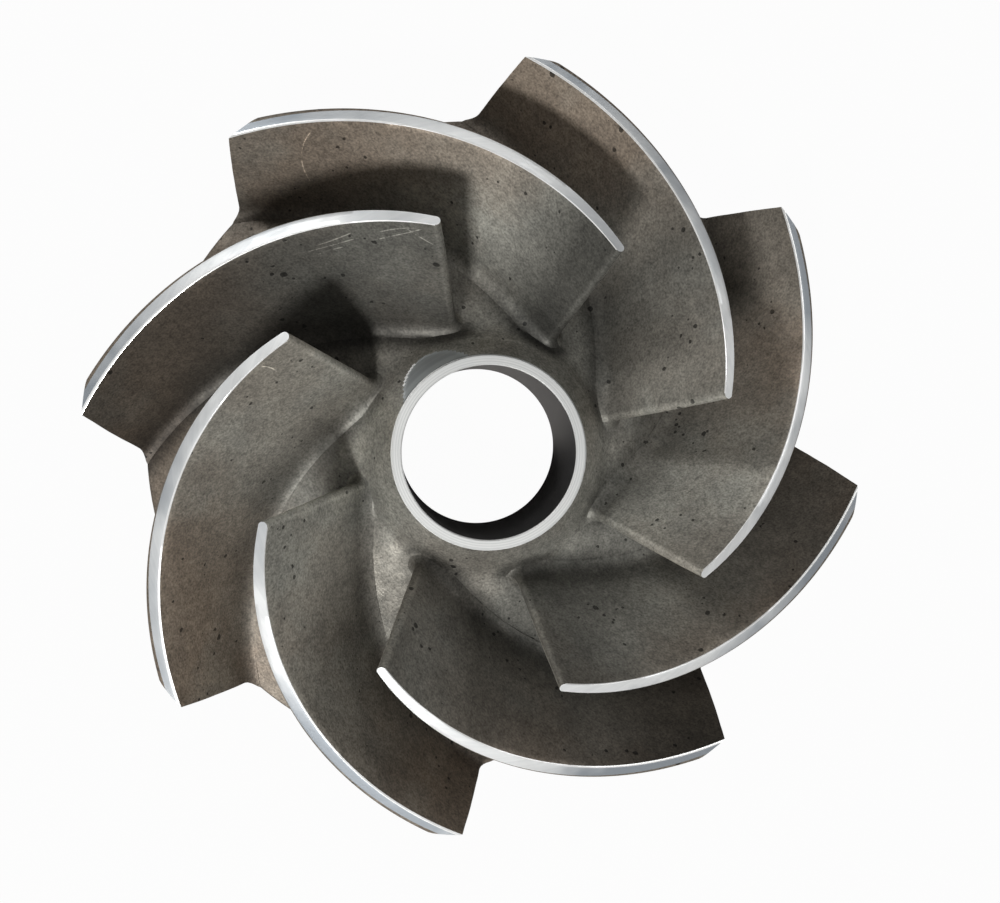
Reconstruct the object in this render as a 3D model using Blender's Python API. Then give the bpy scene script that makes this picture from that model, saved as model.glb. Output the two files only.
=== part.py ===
"""Semi-open mixed-flow pump impeller, cast in one piece.

Metres, +Z up along the shaft axis towards the eye. The origin is on the axis, in the plane of the
back face that the impeller rests on. +X runs through a vane's tip at the outlet.
"""
import math

import bmesh
import bpy

# Plan of the vanes. A handle is the share of the way from the eye radius to the outer radius
VANE_COUNT = 8
EYE_TIP_RADIUS = 0.0752
OUTLET_TIP_RADIUS = 0.1393
EYE_ROOT_RADIUS = 0.0449
RIM_RADIUS = 0.1263
TIP_HANDLES = (0.247, 0.601)
ROOT_HANDLES = (0.044, 0.469)
TIP_WRAP = math.radians(68.5)
ROOT_WRAP = math.radians(74.6)

# Thickness of the vanes
LEADING_THICKNESS = 0.0030
MIDDLE_THICKNESS = 0.0050
TRAILING_THICKNESS = 0.0053
ROOT_DRAFT = 0.0012
ROOT_FILLET = 0.0040
ROOT_SINK = 0.0025

# Heights above the back face
EYE_TIP_HEIGHT = 0.0852
OUTLET_TIP_HEIGHT = 0.0426
TIP_SAG = 0.0016
NOSE_HEIGHT = 0.0500
EYE_ROOT_HEIGHT = 0.0367
RIM_HEIGHT = 0.0045

# Hub
BORE_RADIUS = 0.0306
END_RING_WIDTH = 0.0034
END_RING_STEP = 0.0008
END_RING_LEDGE = 0.0004
NOSE_BLEND = 0.0035
BACK_BOSS_RADIUS = 0.0450
RIM_LAND = 0.0070
DISC_WALL = 0.0065
CORE_FILLET = 0.0050
CORE_DRAFT = 0.0025
EDGE_CHAMFER = 0.0006

# Fineness
HUB_SEGMENTS = 48
VANE_STATIONS = 12
EDGE_STEPS = 4
NOSE_STEPS = 3


def curve(start, end, handles, u):
    """Value at u of a cubic Bezier from start to end, with its handles as shares of the way."""
    v = 1.0 - u
    share = 3.0 * v * v * u * handles[0] + 3.0 * v * u * u * handles[1] + u * u * u
    return start + (end - start) * share


def curve_slope(start, end, handles, u):
    """Rate of change at u of the same curve."""
    v = 1.0 - u
    share = v * v * handles[0] + 2.0 * v * u * (handles[1] - handles[0]) + u * u * (1.0 - handles[1])
    return 3.0 * (end - start) * share


def tip_height(radius):
    """Height of the turned tip contour at a radius."""
    s = (radius - EYE_TIP_RADIUS) / (OUTLET_TIP_RADIUS - EYE_TIP_RADIUS)
    cone = EYE_TIP_HEIGHT + (OUTLET_TIP_HEIGHT - EYE_TIP_HEIGHT) * s
    return cone - 4.0 * TIP_SAG * s * (1.0 - s)


def hub_height(radius):
    """Height of the hub's conical flow surface at a radius."""
    s = (radius - EYE_ROOT_RADIUS) / (RIM_RADIUS - EYE_ROOT_RADIUS)
    return EYE_ROOT_HEIGHT + (RIM_HEIGHT - EYE_ROOT_HEIGHT) * s


def thickness(u):
    """Thickness of a vane's tip along its length, from the eye at 0 to the outlet at 1."""
    ends = LEADING_THICKNESS * (1.0 - u) + TRAILING_THICKNESS * u
    swell = MIDDLE_THICKNESS - 0.5 * (LEADING_THICKNESS + TRAILING_THICKNESS)
    return ends + 4.0 * swell * u * (1.0 - u)


class VaneLine:
    """Plan of a vane at its tip or its root: a line on its inner face, and offsets from that line."""

    def __init__(self, eye_radius, outer_radius, handles, wrap):
        self.eye_radius = eye_radius
        self.outer_radius = outer_radius
        self.handles = handles
        self.wrap = wrap

    def point(self, u, offset):
        """Position beside the line at u, moved square to it by offset, away from the axis."""
        radius = curve(self.eye_radius, self.outer_radius, self.handles, u)
        slope = curve_slope(self.eye_radius, self.outer_radius, self.handles, u)
        angle = self.wrap * u
        heading = angle + math.atan2(radius * self.wrap, slope)
        x = radius * math.cos(angle) + offset * math.sin(heading)
        y = radius * math.sin(angle) - offset * math.cos(heading)
        return x, y

    def end(self, offset_at):
        """The u at which an offset line reaches the turned outer radius."""
        low = 0.5
        high = 1.5
        for _ in range(40):
            middle = 0.5 * (low + high)
            if math.hypot(*self.point(middle, offset_at(middle))) < self.outer_radius:
                low = middle
            else:
                high = middle
        return low

    def outline(self, draft, fillet):
        """Outline from the outlet in along the inner face, round the leading edge and out again."""

        def inner_offset(u):
            return -fillet

        def outer_offset(u):
            return thickness(min(u, 1.0)) + draft + fillet

        inner_end = self.end(inner_offset)
        outer_end = self.end(outer_offset)
        outline = []
        for i in range(VANE_STATIONS, 0, -1):
            u = inner_end * i / VANE_STATIONS
            outline.append(self.point(u, inner_offset(u)))
        inner_x, inner_y = self.point(0.0, inner_offset(0.0))
        outer_x, outer_y = self.point(0.0, outer_offset(0.0))
        middle_x = 0.5 * (inner_x + outer_x)
        middle_y = 0.5 * (inner_y + outer_y)
        arm_x = inner_x - middle_x
        arm_y = inner_y - middle_y
        for i in range(EDGE_STEPS + 1):
            turn = math.pi * i / EDGE_STEPS
            x = middle_x + arm_x * math.cos(turn) - arm_y * math.sin(turn)
            y = middle_y + arm_y * math.cos(turn) + arm_x * math.sin(turn)
            outline.append((x, y))
        for i in range(1, VANE_STATIONS + 1):
            u = outer_end * i / VANE_STATIONS
            outline.append(self.point(u, outer_offset(u)))
        return outline


def fillet_reach(height):
    """How far the root fillet stands out from a vane's face at a height above the hub."""
    return ROOT_FILLET - math.sqrt(ROOT_FILLET ** 2 - (ROOT_FILLET - height) ** 2)


def vane_ring(mesh, turn, fillet, share, rise):
    """One level of a vane. Its height is a share of the way from hub to tip, plus a rise."""
    root_line = VaneLine(EYE_ROOT_RADIUS, RIM_RADIUS, ROOT_HANDLES, ROOT_WRAP)
    tip_line = VaneLine(EYE_TIP_RADIUS, OUTLET_TIP_RADIUS, TIP_HANDLES, TIP_WRAP)
    ring = []
    for root, tip in zip(root_line.outline(ROOT_DRAFT, fillet), tip_line.outline(0.0, 0.0)):
        root_radius = math.hypot(*root)
        tip_radius = math.hypot(*tip)
        root_angle = math.atan2(root[1], root[0])
        tip_angle = math.atan2(tip[1], tip[0])
        low = hub_height(root_radius)
        high = tip_height(tip_radius)
        level = share + max(rise, 0.0) / (high - low)
        radius = root_radius + (tip_radius - root_radius) * level
        angle = root_angle + (tip_angle - root_angle) * level + turn
        z = low + (high - low) * level + min(rise, 0.0)
        ring.append(mesh.verts.new((radius * math.cos(angle), radius * math.sin(angle), z)))
    return ring


def add_vane(mesh, turn):
    """Add one vane's closed body, turned about the axis."""
    low_rise = 0.1 * ROOT_FILLET
    rings = [
        vane_ring(mesh, turn, fillet_reach(low_rise), 0.0, -ROOT_SINK),
        vane_ring(mesh, turn, fillet_reach(low_rise), 0.0, low_rise),
        vane_ring(mesh, turn, 0.0, 0.0, ROOT_FILLET),
        vane_ring(mesh, turn, 0.0, 0.5, 0.0),
        vane_ring(mesh, turn, 0.0, 1.0, 0.0),
    ]
    count = len(rings[0])
    for lower, upper in zip(rings, rings[1:]):
        for i in range(count):
            j = (i + 1) % count
            mesh.faces.new((lower[i], lower[j], upper[j], upper[i]))
    middle = count // 2
    for ring in (rings[0], rings[-1]):
        for i in range(middle - 1):
            mesh.faces.new((ring[i], ring[i + 1], ring[count - 2 - i], ring[count - 1 - i]))
        mesh.faces.new((ring[middle - 1], ring[middle], ring[middle + 1]))


def nose_slope():
    """Points down the nose's cone from the end ring, blended into the flow surface at its foot."""
    top = (BORE_RADIUS + END_RING_WIDTH + END_RING_LEDGE, NOSE_HEIGHT - END_RING_STEP)
    foot = (EYE_ROOT_RADIUS, EYE_ROOT_HEIGHT)
    share = NOSE_BLEND / math.hypot(top[0] - foot[0], top[1] - foot[1])
    start = (foot[0] + (top[0] - foot[0]) * share, foot[1] + (top[1] - foot[1]) * share)
    end = (EYE_ROOT_RADIUS + NOSE_BLEND, hub_height(EYE_ROOT_RADIUS + NOSE_BLEND))
    points = [top]
    for i in range(NOSE_STEPS + 1):
        t = i / NOSE_STEPS
        weights = ((1.0 - t) ** 2, 2.0 * t * (1.0 - t), t * t)
        radius = weights[0] * start[0] + weights[1] * foot[0] + weights[2] * end[0]
        height = weights[0] * start[1] + weights[1] * foot[1] + weights[2] * end[1]
        points.append((radius, height))
    return points


def hub_profile():
    """Half section of the hub, from the bore's eye end over the nose and rim and back underneath."""
    ring_radius = BORE_RADIUS + END_RING_WIDTH
    land_radius = RIM_RADIUS - RIM_LAND
    core_radius = BACK_BOSS_RADIUS + CORE_FILLET
    core_height = hub_height(core_radius) - DISC_WALL
    chamfer_radius = RIM_RADIUS - EDGE_CHAMFER
    profile = [
        (BORE_RADIUS, NOSE_HEIGHT - EDGE_CHAMFER),
        (BORE_RADIUS + EDGE_CHAMFER, NOSE_HEIGHT),
        (ring_radius, NOSE_HEIGHT),
        (ring_radius, NOSE_HEIGHT - END_RING_STEP),
    ]
    profile += nose_slope()
    profile += [
        (chamfer_radius, hub_height(chamfer_radius)),
        (RIM_RADIUS, RIM_HEIGHT - EDGE_CHAMFER),
        (RIM_RADIUS, 0.0),
        (land_radius, 0.0),
        (land_radius - CORE_DRAFT, max(hub_height(land_radius) - DISC_WALL, EDGE_CHAMFER)),
        (core_radius, core_height),
        (BACK_BOSS_RADIUS, core_height - CORE_FILLET),
        (BACK_BOSS_RADIUS, 0.0),
        (BORE_RADIUS + EDGE_CHAMFER, 0.0),
        (BORE_RADIUS, EDGE_CHAMFER),
    ]
    return profile


def add_hub(mesh):
    """Add the turned hub body."""
    rings = []
    for radius, height in hub_profile():
        ring = []
        for i in range(HUB_SEGMENTS):
            angle = 2.0 * math.pi * i / HUB_SEGMENTS
            ring.append(mesh.verts.new((radius * math.cos(angle), radius * math.sin(angle), height)))
        rings.append(ring)
    for ring, following in zip(rings, rings[1:] + rings[:1]):
        for i in range(HUB_SEGMENTS):
            j = (i + 1) % HUB_SEGMENTS
            mesh.faces.new((ring[i], ring[j], following[j], following[i]))


def mesh_object(name, mesh):
    """Make an object of a bmesh."""
    bmesh.ops.recalc_face_normals(mesh, faces=mesh.faces)
    data = bpy.data.meshes.new(name)
    mesh.to_mesh(data)
    mesh.free()
    made = bpy.data.objects.new(name, data)
    bpy.context.scene.collection.objects.link(made)
    return made


def hub():
    """The hub, which becomes the whole casting once the vanes are joined to it."""
    mesh = bmesh.new()
    add_hub(mesh)
    return mesh_object("impeller_casting", mesh)


def vane(number):
    """One vane, kept as a guide for the union."""
    mesh = bmesh.new()
    add_vane(mesh, math.tau * number / VANE_COUNT - TIP_WRAP)
    made = mesh_object("vane_%d" % (number + 1), mesh)
    made.hide_render = True
    made.display_type = "WIRE"
    return made


def cast_stainless():
    """Blasted cast stainless steel."""
    material = bpy.data.materials.new("cast_stainless")
    material.use_nodes = True
    shader = material.node_tree.nodes["Principled BSDF"]
    shader.inputs["Base Color"].default_value = (0.24, 0.225, 0.20, 1.0)
    shader.inputs["Roughness"].default_value = 0.55
    shader.inputs["Metallic"].default_value = 0.8
    return material


def clear_scene():
    """Remove what the scene starts with."""
    for old in list(bpy.data.objects):
        bpy.data.objects.remove(old, do_unlink=True)


def main():
    """Model the casting: the hub with every vane joined to it."""
    clear_scene()
    casting = hub()
    for number in range(VANE_COUNT):
        guide = vane(number)
        union = casting.modifiers.new(guide.name, "BOOLEAN")
        union.operation = "UNION"
        union.solver = "EXACT"
        union.object = guide
    casting.data.materials.append(cast_stainless())
    casting.data.shade_smooth()
    casting.data.set_sharp_from_angle(angle=math.radians(35.0))


main()
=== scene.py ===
import math

import bmesh
import bpy
import numpy as np
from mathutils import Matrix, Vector
from mathutils.kdtree import KDTree


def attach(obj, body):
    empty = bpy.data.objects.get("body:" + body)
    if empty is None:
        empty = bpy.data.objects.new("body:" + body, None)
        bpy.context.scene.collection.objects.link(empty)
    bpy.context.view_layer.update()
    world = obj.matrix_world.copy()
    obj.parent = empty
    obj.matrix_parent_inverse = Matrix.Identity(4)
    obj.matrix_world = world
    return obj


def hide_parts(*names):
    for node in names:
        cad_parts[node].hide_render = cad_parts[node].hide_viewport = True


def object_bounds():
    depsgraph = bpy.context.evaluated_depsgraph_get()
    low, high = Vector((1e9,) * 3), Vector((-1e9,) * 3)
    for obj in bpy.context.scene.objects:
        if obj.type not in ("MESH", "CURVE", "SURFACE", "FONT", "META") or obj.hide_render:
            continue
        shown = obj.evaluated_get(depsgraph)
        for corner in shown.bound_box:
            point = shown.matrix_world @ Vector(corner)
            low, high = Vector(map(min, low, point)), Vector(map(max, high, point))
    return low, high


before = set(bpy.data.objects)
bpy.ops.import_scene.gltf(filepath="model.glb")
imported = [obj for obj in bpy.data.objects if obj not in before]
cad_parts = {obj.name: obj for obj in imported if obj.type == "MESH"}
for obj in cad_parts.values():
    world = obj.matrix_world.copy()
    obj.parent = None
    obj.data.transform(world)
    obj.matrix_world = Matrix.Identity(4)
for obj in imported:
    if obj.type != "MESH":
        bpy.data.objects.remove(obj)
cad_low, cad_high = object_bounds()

# Plan of the vanes, in metres. A handle is the share of the way from the eye radius to the outer radius
VANE_COUNT = 8
EYE_TIP_RADIUS = 0.0752
OUTLET_TIP_RADIUS = 0.1393
EYE_ROOT_RADIUS = 0.0449
RIM_RADIUS = 0.1263
TIP_HANDLES = (0.247, 0.601)
ROOT_HANDLES = (0.044, 0.469)
TIP_WRAP = math.radians(68.5)
ROOT_WRAP = math.radians(74.6)

# Thickness of the vanes
LEADING_THICKNESS = 0.0030
MIDDLE_THICKNESS = 0.0050
TRAILING_THICKNESS = 0.0053
ROOT_DRAFT = 0.0012
ROOT_FILLET = 0.0040
ROOT_SINK = 0.0025

# Heights above the back face
EYE_TIP_HEIGHT = 0.0852
OUTLET_TIP_HEIGHT = 0.0426
TIP_SAG = 0.0016
NOSE_HEIGHT = 0.0500
EYE_ROOT_HEIGHT = 0.0367
RIM_HEIGHT = 0.0045

# Hub
BORE_RADIUS = 0.0306
END_RING_WIDTH = 0.0034
END_RING_STEP = 0.0008
END_RING_LEDGE = 0.0004
NOSE_BLEND = 0.0035
BACK_BOSS_RADIUS = 0.0450
RIM_LAND = 0.0070
DISC_WALL = 0.0065
CORE_FILLET = 0.0050
CORE_DRAFT = 0.0025

# Eased edges of the hub
RING_EASE = 0.0004
RING_OUTER_EASE = 0.4 * RING_EASE
RING_FOOT_EASE = 0.0001
RIM_EASE = 0.0009
RIM_BACK_EASE = 0.0003
LAND_EASE = 0.0002
LAND_ROUND = 0.0006
BOSS_EASE = 0.0004
BORE_BACK_EASE = 0.0005

# Points along each stretch of the hub's half section, steps round the axis, and small working lengths
RING_POINTS = 3
NOSE_POINTS = 28
NOSE_BLEND_POINTS = 6
DISC_POINTS = 44
RIM_EASE_POINTS = 4
LAND_POINTS = 4
LAND_ROUND_POINTS = 3
CORE_POINTS = 36
CORE_FILLET_POINTS = 6
BOSS_POINTS = 6
BORE_POINTS = 20
HUB_STEPS = 200
START_SIZE = 0.001
MERGE_DISTANCE = 0.00001

# The straight plate that each vane is formed from
PLATE_LENGTH = 0.2000
PLATE_HEIGHT = 0.0450
PLATE_STATIONS = 92
PLATE_ROWS = 17
FILLET_ROWS = (0.00012, 0.0004, 0.0009, 0.0016, 0.0026, 0.0040)
THICKNESS_CUTS = (0.36, 0.64)
NOSE_ROUNDING = 0.995
NOSE_ROUND_STEPS = 8
PLATE_SLACK = 0.00001

# Search for the share of a vane's length at which it reaches the turned outer radius
END_SEARCH = (0.5, 1.5)
END_SEARCH_STEPS = 40

# Eased edges of the vane tips, which grow towards the outlet
TIP_INNER_EASE = 0.00032
TIP_OUTER_EASE = 0.00055
INNER_EASE_STEPS = 2
OUTER_EASE_STEPS = 3
INNER_EASE_GROWTH = 1.6
OUTER_EASE_GROWTH = 2.0
EASE_MARGIN = 1.01
TIP_FACE_DEPTH = 0.95 * TIP_OUTER_EASE

# How far the feet of the vanes keep inside the turned rim
FOOT_RISE = 0.0003
FOOT_INSET = 0.0003

# The one vane whose outlet end reaches a little further round than the others, and by how much
LONG_VANE = 3
LONG_VANE_EXTRA = math.radians(1.7)

# Skimmed crescent beside the end ring
SKIM_START = BORE_RADIUS + END_RING_WIDTH + END_RING_LEDGE
SKIM_MIDDLE = math.radians(-4.0)
SKIM_HALF_ANGLE = math.radians(24.0)
SKIM_WIDTH = 0.0061
SKIM_DEPTH = 0.00035
SKIM_WALL = 0.0003
# Where the crescent's wall carries the painted highlight of the edge finish: up to this angle, and within
# this width
SKIM_HIGHLIGHT_ANGLE = math.radians(13.0)
SKIM_HIGHLIGHT_WIDTH = 0.00035

# Waves of the sand casting, as name, size and depth, and how far they keep from the turned faces
WAVES = (("casting_waves", 0.016, 0.00045), ("casting_ripples", 0.0050, 0.00012))
CALM_BELOW_TIP = 0.006
CALM_AT_TIP = 2.0 * TIP_OUTER_EASE
CALM_EDGE = 0.002
CALM_LAND = 0.004
CALM_BACK = 0.001

# Edges sharper than this stay crisp in the shading
SMOOTH_ANGLE = math.radians(35.0)

# How near a face of the hub lies to a turned surface that it counts as part of
TURNED_SLACK = 0.00005
BACK_SLACK = 0.0004

# Painted light and shade on the cast faces: lightness of each vane's inner face at three stations from eye
# to outlet, of the hub by radius, and painted shade at the roots
TONE_STATIONS = (0.12, 0.47, 0.85)
VANE_TONES = (
    (0.35, 1.70, 1.20),
    (0.54, 0.42, 0.55),
    (1.20, 1.20, 1.95),
    (1.30, 1.40, 1.30),
    (0.80, 0.88, 0.60),
    (0.60, 1.50, 0.80),
    (1.25, 1.40, 1.05),
    (1.10, 0.60, 1.75),
)
# The hub's lightness by radius is painted shade, darkest in the passages between the vanes
HUB_TONE_RADII = (0.046, 0.060, 0.085, 0.110)
HUB_TONES = (1.02, 0.62, 0.46, 0.92)
# Painted shade at the vane roots, fading out over a share of the vane's height
ROOT_SHADE = 0.46
# Painted highlight on the rounded nose of each vane
NOSE_HIGHLIGHT = 1.3
TONE_NEAR = 0.0014
TONE_FAR = 0.0060
ROOT_SHADE_REACH = 0.45

# Pale scratches: the vane, from 0, two ends as shares of its length and height, and the bow in metres
SCRATCHES = (
    (0, (0.84, 0.90), (0.855, 0.37), 0.0030),
    (1, (0.38, 0.83), (0.24, 0.87), 0.0003),
    (1, (0.345, 0.865), (0.25, 0.915), 0.0003),
    (1, (0.36, 0.79), (0.29, 0.81), -0.0003),
    (1, (0.20, 0.845), (0.045, 0.945), 0.0004),
    (1, (0.17, 0.91), (0.06, 0.95), -0.0004),
    (1, (0.10, 0.97), (0.00, 0.82), 0.0006),
    (2, (0.113, 0.96), (0.11, 0.84), -0.0006),
)
SCRATCH_LIGHT = 3.0
SCRATCH_PROBE = 0.01
SCRATCH_OVERRUN = 1.1
SCRATCH_EDGE = (0.00006, 0.00030)
SCRATCH_FADE = (0.75, 1.0)
SCRATCH_BREAKS = 350.0
SCRATCH_GAPS = (0.34, 0.54)

# Grain, pits, stains and turning rings, with their waves or cells counted per metre
GRAIN_COARSE = 420.0
GRAIN_FINE = 1250.0
GRAIN_COARSE_SHARE = 0.4
GRAIN_FINE_SHARE = 0.6
PIT_CELLS = 330.0
PIT_PATCHES = 60.0
PIT_PATCH_SPAN = (0.45, 0.68)
PIT_REACH = 0.62
PIT_CHANCE = (0.35, 1.0)
PIT_EDGE = (0.0, 0.05)
PIT_DEPTH = 0.8
BROAD_STAINS = 17.0
BROAD_SPAN = (0.36, 0.66)
PATCHY_STAINS = 75.0
PATCHY_SPAN = (0.34, 0.68)
RING_STREAKS = 2400.0
RING_WAVE = 0.25
STREAK_SPAN = (0.3, 0.7)
WHOLE = (0.0, 1.0)
NOISE_SHIFT = (1.0, 0.7, 1.3)

# Cast surface: radii over which it turns from grey to brown, and how each effect lightens or darkens it
CAST_GREY = (0.262, 0.256, 0.225)
CAST_BROWN = (0.204, 0.168, 0.132)
GREY_RADII = (0.068, 0.125)
GREY_SHARES = (0.95, 0.15)
GREY_WANDER = 0.55
PATCH_LIGHT = (0.82, 1.14)
SPECKLE_SPAN = (0.32, 0.68)
SPECKLE_LIGHT = (0.60, 1.40)
PIT_LIGHT = (1.0, 0.25)
PITTING = 0.8
CAST_ROUGHNESS = (0.62, 0.50)

# Turned, skimmed and ground surfaces
TURNED_BRIGHT = (0.78, 0.78, 0.76)
TURNED_DARK = (0.57, 0.58, 0.57)
TURNED_PATCHES = (0.0, 0.25)
TURNED_ROUGHNESS = (0.55, 0.45)
BORE_DARK = (0.20, 0.195, 0.19)
BORE_GREY = (0.34, 0.34, 0.35)
SKIM_DARK = (0.26, 0.275, 0.275)
SKIM_GREY = (0.36, 0.38, 0.38)
# Near-white painted highlight on the deburred inner edge of the vane tips and on the skimmed crescent's
# wall
EDGE_HIGHLIGHT = (0.97, 0.97, 0.96)
TIP_BRIGHT = (0.90, 0.91, 0.90)
# Blue-grey of the tips towards the outlet, partly their own colour and partly a painted reflection, and
# the radii over which it takes over
TIP_SLATE_REFLECTION = (0.33, 0.36, 0.39)
SLATE_REFLECTION_RADII = (0.092, 0.128)
SLATE_REFLECTION_WANDER = 0.9
TIP_STREAKS = (0.0, 0.14)
TIP_ROUGHNESS = (0.38, 0.48)

# Camera: its place, its turn about X, Y and Z in degrees, and its lens
CAMERA_PLACE = (0.0372, 0.0160, 0.3963)
CAMERA_TURN = (-2.97, -6.52, -129.47)
CAMERA_SENSOR = 36.0
CAMERA_LENS = 36.0
CAMERA_NEAR = 0.01

# Floor and room
FLOOR_SIZE = 3.0
FLOOR_COLOUR = (0.20, 0.19, 0.18, 1.0)
FLOOR_ROUGHNESS = 0.8
FLOOR_SEEN = 0.97
WHITE = (1.0, 1.0, 1.0, 1.0)
ROOM_COLOUR = (0.97, 0.98, 1.0, 1.0)
ROOM_STRENGTH = 0.10
BACKDROP_COLOUR = (0.97, 0.97, 0.97, 1.0)

# Lamps: name, direction as azimuth and elevation in degrees, width, height and power in watts
LAMP_AIM = Vector((0.0, 0.0, 0.03))
LAMP_DISTANCE = 1.3
LAMPS = (
    ("key", 106.0, 52.0, 0.26, 0.12, 15.5),
    ("front", 118.0, 17.0, 1.10, 0.22, 3.4),
    ("side", 4.0, 22.0, 0.36, 0.26, 4.4),
    ("back", 315.0, 14.0, 0.90, 0.25, 1.6),
    ("right", 250.0, 24.0, 0.90, 0.30, 3.2),
    ("fill", 205.0, 36.0, 0.60, 0.30, 2.6),
)

# Material slots of the casting, after the cast surface in slot 0
TURNED = 1
TIP = 2
# Slot for the deburred edges, coloured as a painted highlight
EDGE = 3
BORE = 4
SKIMMED = 5

# Numbers of a Mix node's colour sockets, because its sockets share their names
MIX_FIRST = 6
MIX_SECOND = 7
MIX_RESULT = 2


# Shape of the vanes

def curve(start, end, handles, u):
    """Value at u of a cubic Bezier from start to end, with its handles as shares of the way."""
    v = 1.0 - u
    share = 3.0 * v * v * u * handles[0] + 3.0 * v * u * u * handles[1] + u * u * u
    return start + (end - start) * share


def curve_slope(start, end, handles, u):
    """Rate of change at u of the same curve."""
    v = 1.0 - u
    share = v * v * handles[0] + 2.0 * v * u * (handles[1] - handles[0]) + u * u * (1.0 - handles[1])
    return 3.0 * (end - start) * share


def tip_height(radius):
    """Height of the turned tip contour at a radius."""
    s = (radius - EYE_TIP_RADIUS) / (OUTLET_TIP_RADIUS - EYE_TIP_RADIUS)
    cone = EYE_TIP_HEIGHT + (OUTLET_TIP_HEIGHT - EYE_TIP_HEIGHT) * s
    return cone - 4.0 * TIP_SAG * s * (1.0 - s)


def hub_height(radius):
    """Height of the hub's conical flow surface at a radius."""
    s = (radius - EYE_ROOT_RADIUS) / (RIM_RADIUS - EYE_ROOT_RADIUS)
    return EYE_ROOT_HEIGHT + (RIM_HEIGHT - EYE_ROOT_HEIGHT) * s


def thickness(u):
    """Thickness of a vane's tip along its length, from the eye at 0 to the outlet at 1."""
    u = np.clip(u, 0.0, 1.0)
    ends = LEADING_THICKNESS * (1.0 - u) + TRAILING_THICKNESS * u
    swell = MIDDLE_THICKNESS - 0.5 * (LEADING_THICKNESS + TRAILING_THICKNESS)
    return ends + 4.0 * swell * u * (1.0 - u)


class VaneLine:
    """Plan of a vane at its tip or its root: a line on its inner face, and offsets from that line."""

    def __init__(self, eye_radius, outer_radius, handles, wrap):
        self.eye_radius = eye_radius
        self.outer_radius = outer_radius
        self.handles = handles
        self.wrap = wrap

    def point(self, u, offset):
        """Positions beside the line at u, moved square to it by offset, away from the axis."""
        radius = curve(self.eye_radius, self.outer_radius, self.handles, u)
        slope = curve_slope(self.eye_radius, self.outer_radius, self.handles, u)
        angle = self.wrap * u
        heading = angle + np.arctan2(radius * self.wrap, slope)
        x = radius * np.cos(angle) + offset * np.sin(heading)
        y = radius * np.sin(angle) - offset * np.cos(heading)
        return x, y

    def end(self, offset_at):
        """The u at which each offset line reaches the turned outer radius."""
        low = np.full(offset_at(1.0).shape, END_SEARCH[0])
        high = np.full(low.shape, END_SEARCH[1])
        for _ in range(END_SEARCH_STEPS):
            middle = 0.5 * (low + high)
            inside = np.hypot(*self.point(middle, offset_at(middle))) < self.outer_radius
            low = np.where(inside, middle, low)
            high = np.where(inside, high, middle)
        return low

    def place(self, along, nose, across, draft, fillet):
        """Positions of plate points: along 0 to 1, nose metres before the line, across 0 to 1."""

        def offset_at(u):
            return across * (thickness(u) + draft) + (2.0 * across - 1.0) * fillet

        u = along * self.end(offset_at)
        x, y = self.point(u, offset_at(u))
        slope = curve_slope(self.eye_radius, self.outer_radius, self.handles, 0.0)
        heading = math.atan2(self.eye_radius * self.wrap, slope)
        width = LEADING_THICKNESS + draft + 2.0 * fillet
        reach = nose * width / LEADING_THICKNESS
        return x + reach * math.cos(heading), y + reach * math.sin(heading)


def fillet_reach(height):
    """How far the root fillet stands out from a vane's face at a height above the hub."""
    height = np.clip(height, FILLET_ROWS[0], ROOT_FILLET)
    return ROOT_FILLET - np.sqrt(ROOT_FILLET ** 2 - (ROOT_FILLET - height) ** 2)


def on_vane(number, along, nose, across, height):
    """Places of plate points on the ruled surface of one vane, and their levels from hub to tip."""
    rise = np.clip(height, -ROOT_SINK, ROOT_FILLET)
    share = np.clip((height - ROOT_FILLET) / (PLATE_HEIGHT - ROOT_FILLET), 0.0, 1.0)
    fillet = np.where(height < ROOT_FILLET, fillet_reach(height), 0.0)
    root_line = VaneLine(EYE_ROOT_RADIUS, RIM_RADIUS, ROOT_HANDLES, ROOT_WRAP)
    tip_wrap = TIP_WRAP + (LONG_VANE_EXTRA if number == LONG_VANE else 0.0)
    tip_line = VaneLine(EYE_TIP_RADIUS, OUTLET_TIP_RADIUS, TIP_HANDLES, tip_wrap)
    root_x, root_y = root_line.place(along, nose, across, ROOT_DRAFT, fillet)
    tip_x, tip_y = tip_line.place(along, nose, across, 0.0, np.zeros(height.shape))
    root_radius = np.hypot(root_x, root_y)
    tip_radius = np.hypot(tip_x, tip_y)
    root_angle = np.arctan2(root_y, root_x)
    tip_angle = np.arctan2(tip_y, tip_x)
    low = hub_height(root_radius)
    high = tip_height(tip_radius)
    level = share + (1.0 - share) * np.maximum(rise, 0.0) / (high - low)
    turn = math.tau * number / VANE_COUNT - TIP_WRAP
    radius = root_radius + (tip_radius - root_radius) * level
    angle = root_angle + (tip_angle - root_angle) * level + turn
    z = np.minimum(low + (high - low) * level + np.minimum(rise, 0.0), cad_high[2])
    return np.stack((radius * np.cos(angle), radius * np.sin(angle), z), axis=1), level


# Modelling helpers

def pick_object(piece):
    """Select one object and nothing else."""
    bpy.ops.object.select_all(action="DESELECT")
    bpy.context.view_layer.objects.active = piece
    piece.select_set(True)


def start_edit(piece):
    """Open one object in edit mode."""
    pick_object(piece)
    bpy.ops.object.mode_set(mode="EDIT")


def end_edit():
    """Leave edit mode."""
    bpy.ops.object.mode_set(mode="OBJECT")


def pick_edges(piece, wanted):
    """Select the edges that satisfy wanted."""
    bpy.ops.mesh.select_mode(type="EDGE")
    bpy.ops.mesh.select_all(action="DESELECT")
    mesh = bmesh.from_edit_mesh(piece.data)
    for edge in mesh.edges:
        if wanted(edge):
            edge.select_set(True)
    bmesh.update_edit_mesh(piece.data)


def cut_across(place, normal):
    """Cut the whole mesh along a plane."""
    bpy.ops.mesh.select_all(action="SELECT")
    bpy.ops.mesh.bisect(plane_co=place, plane_no=normal)


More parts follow.
